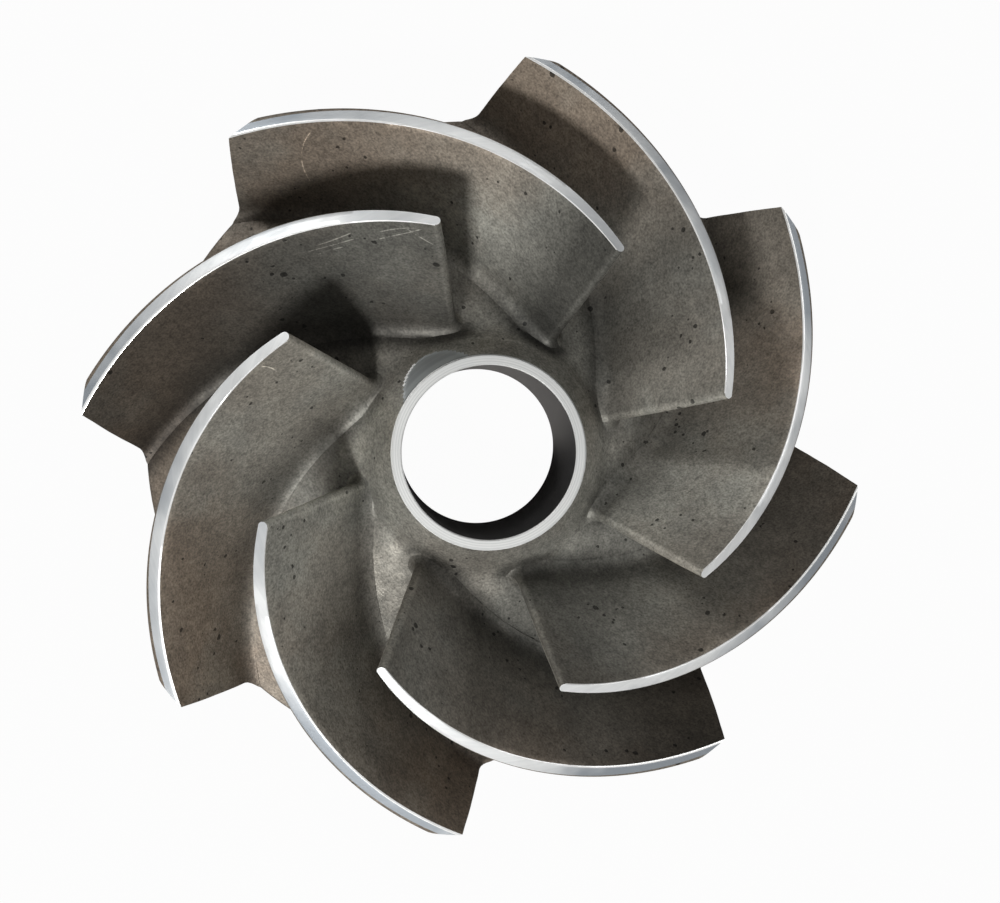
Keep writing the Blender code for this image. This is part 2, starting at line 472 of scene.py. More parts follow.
def join(pieces):
    """Join objects into the first."""
    pick_object(pieces[0])
    for piece in pieces:
        piece.select_set(True)
    bpy.ops.object.join()
    return pieces[0]


def add_materials(piece, materials):
    """Give a piece every material of the casting, in the order of the slots."""
    for material in materials:
        piece.data.materials.append(material)


def polar(co):
    """Radius and angle of a point about the axis."""
    return math.hypot(co.x, co.y), math.atan2(co.y, co.x)


# Vanes

def vane_plate():
    """A straight plate with a round nose and eased edges, cut into stations and rows."""
    bpy.ops.object.select_all(action="DESELECT")
    half = 0.5 * LEADING_THICKNESS
    low = Vector((-half, 0.0, -ROOT_SINK))
    high = Vector((PLATE_LENGTH, LEADING_THICKNESS, PLATE_HEIGHT))
    bpy.ops.mesh.primitive_cube_add(size=1.0, location=(low + high) / 2.0)
    plate = bpy.context.object
    plate.name = "vane_plate"
    plate.scale = high - low
    bpy.ops.object.transform_apply(location=True, rotation=True, scale=True)

    def upright_nose(edge):
        first, last = [v.co for v in edge.verts]
        at_nose = first.x < low.x + PLATE_SLACK and last.x < low.x + PLATE_SLACK
        return at_nose and abs(first.z - last.z) >= PLATE_SLACK

    def on_tip(co):
        return co.z > high.z - PLATE_SLACK and co.x > -PLATE_SLACK

    def inner_tip(edge):
        return all(on_tip(v.co) and v.co.y < PLATE_SLACK for v in edge.verts)

    def outer_tip(edge):
        return all(on_tip(v.co) and v.co.y > high.y - PLATE_SLACK for v in edge.verts)

    start_edit(plate)
    pick_edges(plate, upright_nose)
    bpy.ops.mesh.bevel(offset=half * NOSE_ROUNDING, segments=NOSE_ROUND_STEPS, profile=0.5, affect="EDGES")
    pick_edges(plate, inner_tip)
    bpy.ops.mesh.bevel(offset=TIP_INNER_EASE, segments=INNER_EASE_STEPS, profile=0.5, affect="EDGES")
    pick_edges(plate, outer_tip)
    bpy.ops.mesh.bevel(offset=TIP_OUTER_EASE, segments=OUTER_EASE_STEPS, profile=0.5, affect="EDGES")
    for i in range(1, PLATE_STATIONS):
        cut_across((PLATE_LENGTH * i / PLATE_STATIONS, 0.0, 0.0), (1.0, 0.0, 0.0))
    for height in FILLET_ROWS:
        cut_across((0.0, 0.0, height), (0.0, 0.0, 1.0))
    for i in range(1, PLATE_ROWS):
        height = ROOT_FILLET + (PLATE_HEIGHT - ROOT_FILLET) * i / PLATE_ROWS
        cut_across((0.0, 0.0, height), (0.0, 0.0, 1.0))
    for share in THICKNESS_CUTS:
        cut_across((0.0, LEADING_THICKNESS * share, 0.0), (0.0, 1.0, 0.0))
    end_edit()
    return plate


def finish_vane_plate(plate, materials):
    """Mark the plate's turned tip, its inner edge with its painted highlight, and its cast faces."""
    add_materials(plate, materials)
    cast = plate.vertex_groups.new(name="cast")
    for vertex in plate.data.vertices:
        below = PLATE_HEIGHT - CALM_AT_TIP - vertex.co.z
        if below > 0.0:
            cast.add([vertex.index], min(below / CALM_BELOW_TIP, 1.0), "ADD")
    for face in plate.data.polygons:
        top = face.center.z > PLATE_HEIGHT - TIP_FACE_DEPTH
        nose = face.center.x < TIP_OUTER_EASE
        inner = top and face.center.y < TIP_INNER_EASE
        outer = face.center.y > LEADING_THICKNESS - TIP_OUTER_EASE
        if inner and not nose:
            face.material_index = EDGE
        elif top and (nose or not outer):
            face.material_index = TIP


def form_vane(plate, number):
    """Bend a copy of the plate to the vane's ruled surface. Also gives its points and their painted light
    and shade.
    """
    vane = plate.copy()
    vane.data = plate.data.copy()
    vane.name = "vane_%d" % (number + 1)
    bpy.context.scene.collection.objects.link(vane)
    count = len(vane.data.vertices)
    flat = np.zeros(count * 3)
    vane.data.vertices.foreach_get("co", flat)
    x, y, z = flat.reshape(count, 3).T
    along = np.clip(x / PLATE_LENGTH, 0.0, 1.0)
    nose = np.minimum(x, 0.0)
    across = y / LEADING_THICKNESS

    from_outer = 1.0 - across
    from_top = PLATE_HEIGHT - z
    growth = 1.0 + (OUTER_EASE_GROWTH - 1.0) * along
    outer_zone = TIP_OUTER_EASE / LEADING_THICKNESS
    easing = (from_outer < outer_zone * EASE_MARGIN) & (from_top < TIP_OUTER_EASE * EASE_MARGIN)
    across = np.where(easing, 1.0 - from_outer * growth, across)
    z = np.where(easing, PLATE_HEIGHT - from_top * growth, z)
    growth = 1.0 + (INNER_EASE_GROWTH - 1.0) * along
    inner_zone = TIP_INNER_EASE / LEADING_THICKNESS
    easing = (across < inner_zone * EASE_MARGIN) & (from_top < TIP_INNER_EASE * EASE_MARGIN) & (x > 0.0)
    across = np.where(easing, across * growth, across)

    places, level = on_vane(number, along, nose, across, z)
    vane.data.vertices.foreach_set("co", places.ravel())
    vane.data.update()
    # Painted light and shade on each vane's inner face, from its station values
    tones = np.where(across < 0.5, np.interp(along, TONE_STATIONS, VANE_TONES[number]), 1.0)
    # Painted highlight on the rounded nose
    tones = np.where(x < 0.0, tones * NOSE_HIGHLIGHT, tones)
    # Painted shade, darkest at the root
    root_shade = ROOT_SHADE + (1.0 - ROOT_SHADE) * np.clip(level / ROOT_SHADE_REACH, 0.0, 1.0)
    return vane, places, tones * root_shade


def make_vanes(materials):
    """All the vanes as one mesh of closed bodies, with their points and the painted light and shade of
    those.
    """
    plate = vane_plate()
    finish_vane_plate(plate, materials)
    formed = [form_vane(plate, number) for number in range(VANE_COUNT)]
    bpy.data.objects.remove(plate)
    vanes, places, tones = zip(*formed)
    return join(vanes), np.concatenate(places), np.concatenate(tones)


def trim_feet(vanes):
    """Keep the feet of the vanes inside the turned rim."""
    for vertex in vanes.data.vertices:
        radius = polar(vertex.co)[0]
        if vertex.co.z < RIM_HEIGHT + FOOT_RISE and radius > RIM_RADIUS - FOOT_INSET:
            shrink = (RIM_RADIUS - FOOT_INSET) / radius
            vertex.co.x *= shrink
            vertex.co.y *= shrink


# Hub

def line(start, end, steps):
    """Points on a straight run, without its first one."""
    return [(start[0] + (end[0] - start[0]) * i / steps, start[1] + (end[1] - start[1]) * i / steps)
            for i in range(1, steps + 1)]


def blend(start, corner, end, steps):
    """Points on a curve that rounds a corner, without its first one."""
    points = []
    for i in range(1, steps + 1):
        t = i / steps
        weights = ((1.0 - t) ** 2, 2.0 * t * (1.0 - t), t * t)
        points.append(tuple(weights[0] * start[k] + weights[1] * corner[k] + weights[2] * end[k]
                            for k in (0, 1)))
    return points


def nose_profile():
    """Half section of the end ring and the nose, down to where it blends into the disc."""
    ring_radius = BORE_RADIUS + END_RING_WIDTH
    step_foot = NOSE_HEIGHT - END_RING_STEP
    profile = [(BORE_RADIUS, NOSE_HEIGHT - RING_EASE), (BORE_RADIUS + RING_EASE, NOSE_HEIGHT)]
    profile += line(profile[-1], (ring_radius - RING_OUTER_EASE, NOSE_HEIGHT), RING_POINTS)
    profile += [(ring_radius, NOSE_HEIGHT - RING_OUTER_EASE)]
    profile += [(ring_radius, step_foot + RING_FOOT_EASE), (ring_radius + RING_FOOT_EASE, step_foot)]
    top = (ring_radius + END_RING_LEDGE, step_foot)
    foot = (EYE_ROOT_RADIUS, EYE_ROOT_HEIGHT)
    share = NOSE_BLEND / math.dist(top, foot)
    blend_start = (foot[0] + (top[0] - foot[0]) * share, foot[1] + (top[1] - foot[1]) * share)
    blend_end = (EYE_ROOT_RADIUS + NOSE_BLEND, hub_height(EYE_ROOT_RADIUS + NOSE_BLEND))
    profile += [top]
    profile += line(top, blend_start, NOSE_POINTS)
    return profile + blend(blend_start, foot, blend_end, NOSE_BLEND_POINTS)


def back_profile(profile):
    """The rest of the half section: over the disc and rim, and back underneath to the bore."""
    rim_start = RIM_RADIUS - RIM_EASE
    profile += line(profile[-1], (rim_start, hub_height(rim_start)), DISC_POINTS)
    rim_side = (RIM_RADIUS, RIM_HEIGHT - RIM_EASE)
    profile += blend(profile[-1], (RIM_RADIUS, RIM_HEIGHT), rim_side, RIM_EASE_POINTS)
    profile += [(RIM_RADIUS, RIM_BACK_EASE), (RIM_RADIUS - RIM_BACK_EASE, 0.0)]
    land_radius = RIM_RADIUS - RIM_LAND
    profile += line(profile[-1], (land_radius + LAND_EASE, 0.0), LAND_POINTS)
    land_top = hub_height(land_radius) - DISC_WALL
    core_edge = (land_radius - CORE_DRAFT, max(land_top, LAND_ROUND))
    profile += [(land_radius, LAND_EASE)]
    land_corner = (land_radius - 0.5 * LAND_ROUND, LAND_ROUND)
    profile += blend(profile[-1], land_corner, core_edge, LAND_ROUND_POINTS)
    core_radius = BACK_BOSS_RADIUS + CORE_FILLET
    core_height = hub_height(core_radius) - DISC_WALL
    profile += line(core_edge, (core_radius, core_height), CORE_POINTS)
    fillet_end = (BACK_BOSS_RADIUS, core_height - CORE_FILLET)
    profile += blend(profile[-1], (BACK_BOSS_RADIUS, core_height), fillet_end, CORE_FILLET_POINTS)
    profile += line(profile[-1], (BACK_BOSS_RADIUS, BOSS_EASE), BOSS_POINTS)
    profile += [(BACK_BOSS_RADIUS - BOSS_EASE, 0.0)]
    profile += line(profile[-1], (BORE_RADIUS + BORE_BACK_EASE, 0.0), BOSS_POINTS)
    profile += [(BORE_RADIUS, BORE_BACK_EASE)]
    return profile + line((BORE_RADIUS, BORE_BACK_EASE), profile[0], BORE_POINTS)


def make_hub():
    """The turned hub, drawn as a half section and spun about the axis."""
    profile = back_profile(nose_profile())
    bpy.ops.object.select_all(action="DESELECT")
    bpy.ops.mesh.primitive_plane_add(size=START_SIZE, location=(profile[0][0], 0.0, profile[0][1]))
    hub = bpy.context.object
    hub.name = "impeller_body"
    bpy.ops.object.transform_apply(location=True, rotation=True, scale=True)
    start_edit(hub)
    bpy.ops.mesh.select_all(action="SELECT")
    bpy.ops.mesh.merge(type="CENTER")
    for start, end in zip(profile, profile[1:-1]):
        step = (end[0] - start[0], 0.0, end[1] - start[1])
        bpy.ops.mesh.extrude_region_move(TRANSFORM_OT_translate={"value": step})
    bpy.ops.mesh.select_all(action="SELECT")
    bpy.ops.mesh.spin(steps=HUB_STEPS, angle=math.tau, center=(0.0, 0.0, 0.0), axis=(0.0, 0.0, 1.0))
    bpy.ops.mesh.select_all(action="SELECT")
    bpy.ops.mesh.remove_doubles(threshold=MERGE_DISTANCE)
    pick_edges(hub, lambda edge: edge.is_boundary)
    bpy.ops.mesh.bridge_edge_loops()
    bpy.ops.mesh.select_all(action="SELECT")
    bpy.ops.mesh.normals_make_consistent(inside=False)
    end_edit()
    return hub


def skim_reach(angle):
    """Radius that the skimmed crescent reaches at an angle."""
    turn = (angle - SKIM_MIDDLE + math.pi) % math.tau - math.pi
    return SKIM_START + SKIM_WIDTH * max(0.0, 1.0 - (turn / SKIM_HALF_ANGLE) ** 2)


def skim_nose(hub):
    """Lower the crescent where the tool that cut the end ring touched the casting."""
    for vertex in hub.data.vertices:
        radius, angle = polar(vertex.co)
        if radius < SKIM_START or radius > SKIM_START + SKIM_WIDTH or vertex.co.z < EYE_ROOT_HEIGHT:
            continue
        inside = (skim_reach(angle) - radius) / SKIM_WALL
        vertex.co.z -= SKIM_DEPTH * min(max(inside, 0.0), 1.0)


def finish_hub(hub, materials):
    """Mark the hub's turned faces, its cast ones and the painted highlight along the skimmed crescent's
    wall.
    """
    add_materials(hub, materials)
    for face in hub.data.polygons:
        radius, angle = polar(face.center)
        z = face.center.z
        on_nose = z > EYE_ROOT_HEIGHT
        in_bore = radius < BORE_RADIUS + TURNED_SLACK
        # A line along the crescent's wall takes the painted highlight
        wall_highlight = 0.0 < angle < SKIM_HIGHLIGHT_ANGLE and abs(radius - skim_reach(angle)) < SKIM_HIGHLIGHT_WIDTH
        if radius < SKIM_START and not in_bore:
            face.material_index = TURNED
        elif on_nose and wall_highlight:
            face.material_index = EDGE
        elif in_bore:
            face.material_index = BORE
        elif on_nose and radius < skim_reach(angle):
            face.material_index = SKIMMED
        elif z < BACK_SLACK or radius > RIM_RADIUS - TURNED_SLACK:
            face.material_index = TURNED
    cast = hub.vertex_groups.new(name="cast")
    core_end = RIM_RADIUS - RIM_LAND - CALM_LAND
    for vertex in hub.data.vertices:
        radius = polar(vertex.co)[0]
        in_flow = SKIM_START + SKIM_WIDTH < radius < RIM_RADIUS - CALM_EDGE
        flow = in_flow and vertex.co.z > hub_height(radius) - CALM_EDGE
        core = BACK_BOSS_RADIUS + CALM_EDGE < radius < core_end and vertex.co.z > CALM_BACK
        if flow or core:
            cast.add([vertex.index], 1.0, "ADD")


# Casting

def roughen(piece, name, size, depth):
    """Waves of a sand casting, on the cast faces only."""
    texture = bpy.data.textures.new(name, "CLOUDS")
    texture.noise_scale = size
    texture.noise_depth = 1
    waves = piece.modifiers.new(name, "DISPLACE")
    waves.texture = texture
    waves.texture_coords = "LOCAL"
    waves.vertex_group = "cast"
    waves.strength = depth
    waves.mid_level = 0.5
    pick_object(piece)
    bpy.ops.object.modifier_apply(modifier=waves.name)


def set_tone(piece, places, tones):
    """Give each point the painted light and shade of the vane face it lies on, or of the hub."""
    tree = KDTree(len(places))
    for number, place in enumerate(places):
        tree.insert(place, number)
    tree.balance()
    values = []
    for vertex in piece.data.vertices:
        number, gap = tree.find(vertex.co)[1:]
        share = min(max((TONE_FAR - gap) / (TONE_FAR - TONE_NEAR), 0.0), 1.0)
        # The hub's own painted shade at this radius
        own = np.interp(polar(vertex.co)[0], HUB_TONE_RADII, HUB_TONES)
        values.append(own + (tones[number] - own) * share)
    tone = piece.data.attributes.new("tone", "FLOAT", "POINT")
    tone.data.foreach_set("value", values)


def make_casting(materials):
    """The whole casting: the hub with the vanes joined to it."""
    hub = make_hub()
    skim_nose(hub)
    finish_hub(hub, materials)
    vanes, places, tones = make_vanes(materials)
    for piece in (hub, vanes):
        for name, size, depth in WAVES:
            roughen(piece, name, size, depth)
    trim_feet(vanes)
    union = hub.modifiers.new("vanes", "BOOLEAN")
    union.operation = "UNION"
    union.solver = "EXACT"
    union.object = vanes
    pick_object(hub)
    bpy.ops.object.modifier_apply(modifier=union.name)
    bpy.data.objects.remove(vanes)
    set_tone(hub, places, tones)
    bpy.ops.object.shade_smooth_by_angle(angle=SMOOTH_ANGLE)
    return hub


# Shader helpers

def group(name, inputs, outputs):
    """A shader node group with named sockets, and its ends."""
    tree = bpy.data.node_groups.new(name, "ShaderNodeTree")
    for label, kind in inputs:
        tree.interface.new_socket(name=label, in_out="INPUT", socket_type="NodeSocket" + kind)
    for label, kind in outputs:
        tree.interface.new_socket(name=label, in_out="OUTPUT", socket_type="NodeSocket" + kind)
    return tree, tree.nodes.new("NodeGroupInput").outputs, tree.nodes.new("NodeGroupOutput").inputs


def use(tree, made, place, **values):
    """Place a group in a material, with its own values."""
    node = tree.nodes.new("ShaderNodeGroup")
    node.node_tree = made
    tree.links.new(place, node.inputs["Place"])
    for label, value in values.items():
        node.inputs[label].default_value = value
    return node.outputs


def feed(tree, socket, value):
    """Link a socket into another, or set the other to a number."""
    if isinstance(value, (int, float)):
        socket.default_value = value
    else:
        tree.links.new(value, socket)


def math_node(tree, operation, first, second=0.5, clamp=False):
    """A Math node whose inputs are sockets or numbers."""
    node = tree.nodes.new("ShaderNodeMath")
    node.operation = operation
    node.use_clamp = clamp
    feed(tree, node.inputs[0], first)
    feed(tree, node.inputs[1], second)
    return node.outputs[0]


def product(tree, *values):
    """The product of sockets or numbers."""
    total = values[0]
    for value in values[1:]:
        total = math_node(tree, "MULTIPLY", total, value)
    return total


def spread(tree, value, span, result=WHOLE, smooth=True):
    """A clamped Map Range node, from one span of values to another."""
    node = tree.nodes.new("ShaderNodeMapRange")
    node.interpolation_type = "SMOOTHSTEP" if smooth else "LINEAR"
    tree.links.new(value, node.inputs["Value"])
    for label, number in zip(("From Min", "From Max", "To Min", "To Max"), (*span, *result)):
        node.inputs[label].default_value = number
    return node.outputs[0]


def noise(tree, place, scale, detail, roughness, shift=0.0):
    """A noise value on a coordinate."""
    node = tree.nodes.new("ShaderNodeTexNoise")
    node.inputs["Scale"].default_value = scale
    node.inputs["Detail"].default_value = detail
    node.inputs["Roughness"].default_value = roughness
    if shift:
        move = tree.nodes.new("ShaderNodeVectorMath")
        move.operation = "ADD"
        tree.links.new(place, move.inputs[0])
        move.inputs[1].default_value = [shift * part for part in NOISE_SHIFT]
        place = move.outputs[0]
    tree.links.new(place, node.inputs["Vector"])
    return node.outputs["Fac"]


def mix_colour(tree, mask, first, second, mode="MIX"):
    """A colour mix whose mask is a socket or a number, and whose colours are sockets or tuples."""
    node = tree.nodes.new("ShaderNodeMix")
    node.data_type = "RGBA"
    node.blend_type = mode
    feed(tree, node.inputs[0], mask)
    for number, value in ((MIX_FIRST, first), (MIX_SECOND, second)):
        if isinstance(value, tuple):
            node.inputs[number].default_value = (*value, 1.0)
        else:
            tree.links.new(value, node.inputs[number])
    return node.outputs[MIX_RESULT]


def distance(tree, first, second):
    """Distance between two positions."""
    node = tree.nodes.new("ShaderNodeVectorMath")
    node.operation = "DISTANCE"
    tree.links.new(first, node.inputs[0])
    tree.links.new(second, node.inputs[1])
    return node.outputs["Value"]


def axis_distance(tree, place):
    """Distance from the part's axis."""
    flat = tree.nodes.new("ShaderNodeVectorMath")
    flat.operation = "MULTIPLY"
    tree.links.new(place, flat.inputs[0])
    flat.inputs[1].default_value = (1.0, 1.0, 0.0)
    length = tree.nodes.new("ShaderNodeVectorMath")
    length.operation = "LENGTH"
    tree.links.new(flat.outputs[0], length.inputs[0])
    return length.outputs["Value"]


def wandering(tree, place, radii, shares, patches, amount):
    """A share that changes outwards between two radii, with an edge that wanders in broad patches."""
    outward = spread(tree, axis_distance(tree, place), radii, shares)
    wander = product(tree, math_node(tree, "SUBTRACT", patches["Broad"], 0.5), amount)
    return math_node(tree, "ADD", outward, wander, clamp=True)


def bump(tree, shader, height, strength, depth):
    """A Bump node that feeds the shader's normal."""
    node = tree.nodes.new("ShaderNodeBump")
    node.inputs["Strength"].default_value = strength
    node.inputs["Distance"].default_value = depth
    tree.links.new(height, node.inputs["Height"])
    tree.links.new(node.outputs[0], shader.inputs["Normal"])


def new_material(name, metallic, roughness):
    """A material with a Principled shader, its tree and its object coordinate."""
    material = bpy.data.materials.new(name)
    material.use_nodes = True
    tree = material.node_tree
    shader = tree.nodes["Principled BSDF"]
    shader.inputs["Metallic"].default_value = metallic
    shader.inputs["Roughness"].default_value = roughness
    place = tree.nodes.new("ShaderNodeTexCoord").outputs["Object"]
    return material, tree, shader, place


# Surface effects, each built once

def scratch_group():
    """The mask of a thin, broken arc where something scraped the surface."""
    inputs = [("Place", "Vector"), ("Centre", "Vector"), ("Radius", "Float"), ("Middle", "Vector"),
              ("Reach", "Float")]
    tree, given, result = group("scratch_arc", inputs, [("Mask", "Float")])
    place = given["Place"]
    off = math_node(tree, "SUBTRACT", distance(tree, place, given["Centre"]), given["Radius"])
    line_mask = spread(tree, math_node(tree, "ABSOLUTE", off), SCRATCH_EDGE, (1.0, 0.0))
    share = math_node(tree, "DIVIDE", distance(tree, place, given["Middle"]), given["Reach"])
    end_mask = spread(tree, share, SCRATCH_FADE, (1.0, 0.0))
    breaks = noise(tree, place, SCRATCH_BREAKS, detail=3.0, roughness=0.6)
    mask = product(tree, line_mask, end_mask, spread(tree, breaks, SCRATCH_GAPS))
    tree.links.new(mask, result["Mask"])
    return tree


def grain_group():
    """Fine blasted grain with scattered pits."""
    inputs = [("Place", "Vector"), ("Pitting", "Float")]
    outputs = [("Height", "Float"), ("Speckle", "Float"), ("Pits", "Float")]
    tree, given, result = group("blasted_grain", inputs, outputs)
    place = given["Place"]
    coarse = noise(tree, place, GRAIN_COARSE, detail=2.0, roughness=0.6)
    fine = noise(tree, place, GRAIN_FINE, detail=1.0, roughness=0.5, shift=3.1)
    grain = math_node(tree, "ADD", product(tree, coarse, GRAIN_COARSE_SHARE),
                      product(tree, fine, GRAIN_FINE_SHARE))
    cells = tree.nodes.new("ShaderNodeTexVoronoi")
    cells.inputs["Scale"].default_value = PIT_CELLS
    tree.links.new(place, cells.inputs["Vector"])
    chance = tree.nodes.new("ShaderNodeSeparateColor")
    tree.links.new(cells.outputs["Color"], chance.inputs[0])
    patches = noise(tree, place, PIT_PATCHES, detail=4.0, roughness=0.7, shift=7.7)
    patch = spread(tree, patches, PIT_PATCH_SPAN, (0.0, PIT_REACH))
    own = spread(tree, chance.outputs["Red"], PIT_CHANCE, smooth=False)
    reach = product(tree, patch, own, given["Pitting"])
    pits = spread(tree, math_node(tree, "SUBTRACT", reach, cells.outputs["Distance"]), PIT_EDGE)
    height = math_node(tree, "SUBTRACT", grain, product(tree, pits, PIT_DEPTH))
    tree.links.new(height, result["Height"])
    tree.links.new(grain, result["Speckle"])
    tree.links.new(pits, result["Pits"])
    return tree


def stain_group():
    """Soft patches of two sizes, for stains and uneven blasting."""
    outputs = [("Broad", "Float"), ("Patchy", "Float")]
    tree, given, result = group("uneven_patches", [("Place", "Vector")], outputs)
    place = given["Place"]
    broad = noise(tree, place, BROAD_STAINS, detail=4.0, roughness=0.55, shift=1.9)
    patchy = noise(tree, place, PATCHY_STAINS, detail=5.0, roughness=0.62, shift=5.3)
    tree.links.new(spread(tree, broad, BROAD_SPAN), result["Broad"])
    tree.links.new(spread(tree, patchy, PATCHY_SPAN), result["Patchy"])
    return tree


def lathe_group():
    """Fine rings left by a turning tool about the axis."""
    inputs = [("Place", "Vector"), ("Pitch", "Float")]
    outputs = [("Height", "Float"), ("Streak", "Float")]
    tree, given, result = group("turning_rings", inputs, outputs)
    parts = tree.nodes.new("ShaderNodeSeparateXYZ")
    tree.links.new(given["Place"], parts.inputs[0])
    travel = math_node(tree, "ADD", axis_distance(tree, given["Place"]), parts.outputs["Z"])
    turns = math_node(tree, "DIVIDE", travel, given["Pitch"])
    wave = math_node(tree, "SINE", product(tree, turns, math.tau))
    across = tree.nodes.new("ShaderNodeCombineXYZ")
    tree.links.new(product(tree, travel, RING_STREAKS), across.inputs["X"])
    streak = noise(tree, across.outputs[0], 1.0, detail=2.0, roughness=0.6)
    height = math_node(tree, "ADD", product(tree, wave, RING_WAVE), streak)
    tree.links.new(height, result["Height"])
    tree.links.new(streak, result["Streak"])
    return tree


def scratch_arc(number, first, last, bow):
    """Centre and radius of a scratch that lies in a vane's face, with its middle and half its length."""
    middle = ((first[0] + last[0]) / 2.0, (first[1] + last[1]) / 2.0)
    beside = (middle[0] + SCRATCH_PROBE, middle[1])
    above = (middle[0], middle[1] + SCRATCH_PROBE)
    along, share = np.array((first, last, middle, beside, above)).T
    on_line = np.zeros(len(along))
    places = on_vane(number, along, on_line, on_line, share * PLATE_HEIGHT)[0]
    first, last, middle, beside, above = [Vector(point) for point in places]
    chord = last - first
    side = (beside - middle).cross(above - middle).cross(chord).normalized()
    radius = chord.length_squared / (8.0 * abs(bow)) + abs(bow) / 2.0
    centre = (first + last) / 2.0 + side * (bow - math.copysign(radius, bow))
    return centre, radius, middle, chord.length / 2.0


def scratches(tree, place):
    """One mask of all the scratches."""
    total = 0.0
    for scratch in SCRATCHES:
        centre, radius, middle, reach = scratch_arc(*scratch)
        reach *= SCRATCH_OVERRUN
        mask = use(tree, SCRATCH, place, Centre=centre, Radius=radius, Middle=middle, Reach=reach)["Mask"]
        total = math_node(tree, "MAXIMUM", mask, total)
    return total


# Finishes

def cast_stainless():
    """Blasted cast stainless steel: warm grey, patchy and finely grained, with the painted light and shade
    of each point's tone.
    """
    material, tree, shader, place = new_material("cast_stainless", metallic=0.6, roughness=0.6)
    grain = use(tree, GRAIN, place, Pitting=PITTING)
    patches = use(tree, PATCHES, place)
    greyness = wandering(tree, place, GREY_RADII, GREY_SHARES, patches, GREY_WANDER)
    colour = mix_colour(tree, greyness, CAST_BROWN, CAST_GREY)
    light = spread(tree, patches["Patchy"], WHOLE, PATCH_LIGHT, smooth=False)
    speckle = spread(tree, grain["Speckle"], SPECKLE_SPAN, SPECKLE_LIGHT, smooth=False)
    pits = spread(tree, grain["Pits"], WHOLE, PIT_LIGHT, smooth=False)
    scraped = spread(tree, scratches(tree, place), WHOLE, (1.0, SCRATCH_LIGHT), smooth=False)
    # Each point's tone is painted light and shade, multiplied into the colour
    tone = tree.nodes.new("ShaderNodeAttribute")
    tone.attribute_name = "tone"
    shade = product(tree, light, speckle, pits, tone.outputs["Fac"], scraped)
    grey = tree.nodes.new("ShaderNodeCombineColor")
    for label in ("Red", "Green", "Blue"):
        tree.links.new(shade, grey.inputs[label])
    colour = mix_colour(tree, 1.0, colour, grey.outputs[0], mode="MULTIPLY")
    tree.links.new(colour, shader.inputs["Base Color"])
    rough = spread(tree, patches["Patchy"], WHOLE, CAST_ROUGHNESS, smooth=False)
    tree.links.new(rough, shader.inputs["Roughness"])
    bump(tree, shader, grain["Height"], strength=0.45, depth=0.0003)
    return material


def turned_steel():
    """Turned faces: bright, with fine rings about the axis."""
    material, tree, shader, place = new_material("turned_steel", metallic=0.45, roughness=0.5)
    rings = use(tree, RINGS, place, Pitch=0.00035)
    patches = use(tree, PATCHES, place)
    colour = mix_colour(tree, spread(tree, rings["Streak"], STREAK_SPAN), TURNED_DARK, TURNED_BRIGHT)
    colour = mix_colour(tree, spread(tree, patches["Patchy"], WHOLE, TURNED_PATCHES), colour, TURNED_DARK)
    tree.links.new(colour, shader.inputs["Base Color"])
    rough = spread(tree, rings["Streak"], STREAK_SPAN, TURNED_ROUGHNESS, smooth=False)
    tree.links.new(rough, shader.inputs["Roughness"])
    bump(tree, shader, rings["Height"], strength=0.15, depth=0.00008)
    return material


def ground_tip():
    """The turned vane tips: white near the eye, blue-grey towards the outlet, which is partly the turned
    face's own colour and partly a painted reflection.
    """
    material, tree, shader, place = new_material("ground_tip", metallic=0.5, roughness=0.42)
    rings = use(tree, RINGS, place, Pitch=0.0005)
    patches = use(tree, PATCHES, place)
    slate_reflection = wandering(tree, place, SLATE_REFLECTION_RADII, WHOLE, patches, SLATE_REFLECTION_WANDER)
    colour = mix_colour(tree, slate_reflection, TIP_BRIGHT, TIP_SLATE_REFLECTION)
    colour = mix_colour(tree, spread(tree, rings["Streak"], STREAK_SPAN, TIP_STREAKS), colour, TIP_SLATE_REFLECTION)
    tree.links.new(colour, shader.inputs["Base Color"])
    rough = spread(tree, patches["Patchy"], WHOLE, TIP_ROUGHNESS, smooth=False)
    tree.links.new(rough, shader.inputs["Roughness"])
    bump(tree, shader, rings["Height"], strength=0.06, depth=0.00005)
    return material


def ringed_steel(name, dark, light, metallic, roughness, pitch):
    """Smooth steel whose turning rings show as fine streaks of two colours."""
    material, tree, shader, place = new_material(name, metallic, roughness)
    rings = use(tree, RINGS, place, Pitch=pitch)
    colour = mix_colour(tree, spread(tree, rings["Streak"], STREAK_SPAN), dark, light)
    tree.links.new(colour, shader.inputs["Base Color"])
    bump(tree, shader, rings["Height"], strength=0.1, depth=0.00005)
    return material


def bored_steel():
    """The bore: smooth and dark, since little light reaches it."""
    return ringed_steel("bored_steel", BORE_DARK, BORE_GREY, metallic=0.9, roughness=0.3, pitch=0.0003)


def skimmed_steel():
    """The crescent that the turning tool skimmed: smoother and bluer than the casting round it."""
    return ringed_steel("skimmed_steel", SKIM_DARK, SKIM_GREY, metallic=0.5, roughness=0.4, pitch=0.0005)


def painted_highlight_edge():
    """The deburred inner edge of the vane tips and the skimmed crescent's wall, coloured near-white as a
    painted highlight.
    """
    material, tree, shader, place = new_material("painted_highlight_edge", metallic=0.4, roughness=0.3)
    patches = use(tree, PATCHES, place)
    colour = mix_colour(tree, patches["Patchy"], TURNED_BRIGHT, EDGE_HIGHLIGHT)
    tree.links.new(colour, shader.inputs["Base Color"])
    return material


# Camera, floor and lights

def make_camera():
    """A camera where the photograph was taken from."""
    data = bpy.data.cameras.new("camera")
    data.sensor_width = CAMERA_SENSOR
    data.lens = CAMERA_LENS
    data.clip_start = CAMERA_NEAR
    camera = bpy.data.objects.new("camera", data)
    bpy.context.scene.collection.objects.link(camera)
    camera.location = CAMERA_PLACE
    camera.rotation_euler = [math.radians(angle) for angle in CAMERA_TURN]
    bpy.context.scene.camera = camera


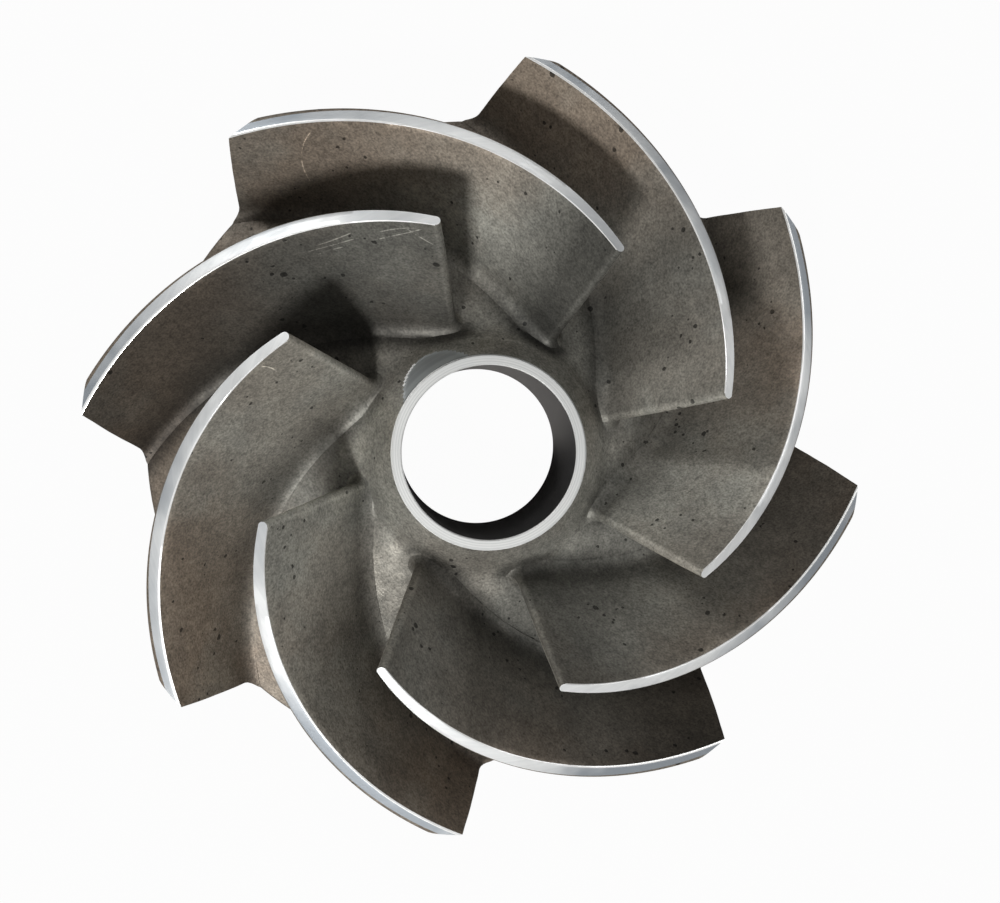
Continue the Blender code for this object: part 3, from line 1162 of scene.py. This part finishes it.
def make_floor():
    """A plain pale floor under the back face, which looks white and throws little light back."""
    bpy.ops.object.select_all(action="DESELECT")
    bpy.ops.mesh.primitive_plane_add(size=FLOOR_SIZE, location=(0.0, 0.0, 0.0))
    floor = bpy.context.object
    floor.name = "floor"
    material = bpy.data.materials.new("pale_floor")
    material.use_nodes = True
    tree = material.node_tree
    shader = tree.nodes["Principled BSDF"]
    shader.inputs["Base Color"].default_value = FLOOR_COLOUR
    shader.inputs["Roughness"].default_value = FLOOR_ROUGHNESS
    shader.inputs["Specular IOR Level"].default_value = 0.0
    glow = tree.nodes.new("ShaderNodeEmission")
    glow.inputs["Color"].default_value = WHITE
    rays = tree.nodes.new("ShaderNodeLightPath")
    mix = tree.nodes.new("ShaderNodeMixShader")
    tree.links.new(product(tree, rays.outputs["Is Camera Ray"], FLOOR_SEEN), mix.inputs[0])
    tree.links.new(shader.outputs[0], mix.inputs[1])
    tree.links.new(glow.outputs[0], mix.inputs[2])
    tree.links.new(mix.outputs[0], tree.nodes["Material Output"].inputs["Surface"])
    floor.data.materials.append(material)


def add_lamp(name, azimuth, elevation, width, height, power):
    """A soft rectangular lamp aimed at the middle of the casting."""
    data = bpy.data.lights.new(name, "AREA")
    data.shape = "RECTANGLE"
    data.size = width
    data.size_y = height
    data.energy = power
    lamp = bpy.data.objects.new(name, data)
    bpy.context.scene.collection.objects.link(lamp)
    a = math.radians(azimuth)
    e = math.radians(elevation)
    away = Vector((math.cos(a) * math.cos(e), math.sin(a) * math.cos(e), math.sin(e)))
    lamp.location = LAMP_AIM + away * LAMP_DISTANCE
    lamp.rotation_euler = away.to_track_quat("Z", "Y").to_euler()


def make_room():
    """A dim room, seen by the camera as a white backdrop."""
    world = bpy.data.worlds.new("studio")
    world.use_nodes = True
    tree = world.node_tree
    room = tree.nodes["Background"]
    room.inputs["Color"].default_value = ROOM_COLOUR
    room.inputs["Strength"].default_value = ROOM_STRENGTH
    backdrop = tree.nodes.new("ShaderNodeBackground")
    backdrop.inputs["Color"].default_value = BACKDROP_COLOUR
    rays = tree.nodes.new("ShaderNodeLightPath")
    mix = tree.nodes.new("ShaderNodeMixShader")
    tree.links.new(rays.outputs["Is Camera Ray"], mix.inputs[0])
    tree.links.new(room.outputs[0], mix.inputs[1])
    tree.links.new(backdrop.outputs[0], mix.inputs[2])
    tree.links.new(mix.outputs[0], tree.nodes["World Output"].inputs["Surface"])
    bpy.context.scene.world = world


# Making the scene

make_camera()
make_floor()
for lamp in LAMPS:
    add_lamp(*lamp)
make_room()
bpy.context.scene.view_settings.view_transform = "Standard"

GRAIN = grain_group()
PATCHES = stain_group()
RINGS = lathe_group()
SCRATCH = scratch_group()
finishes = [cast_stainless(), turned_steel(), ground_tip(), painted_highlight_edge(), bored_steel(), skimmed_steel()]
casting = make_casting(finishes)
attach(casting, "root")
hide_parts("impeller_casting")
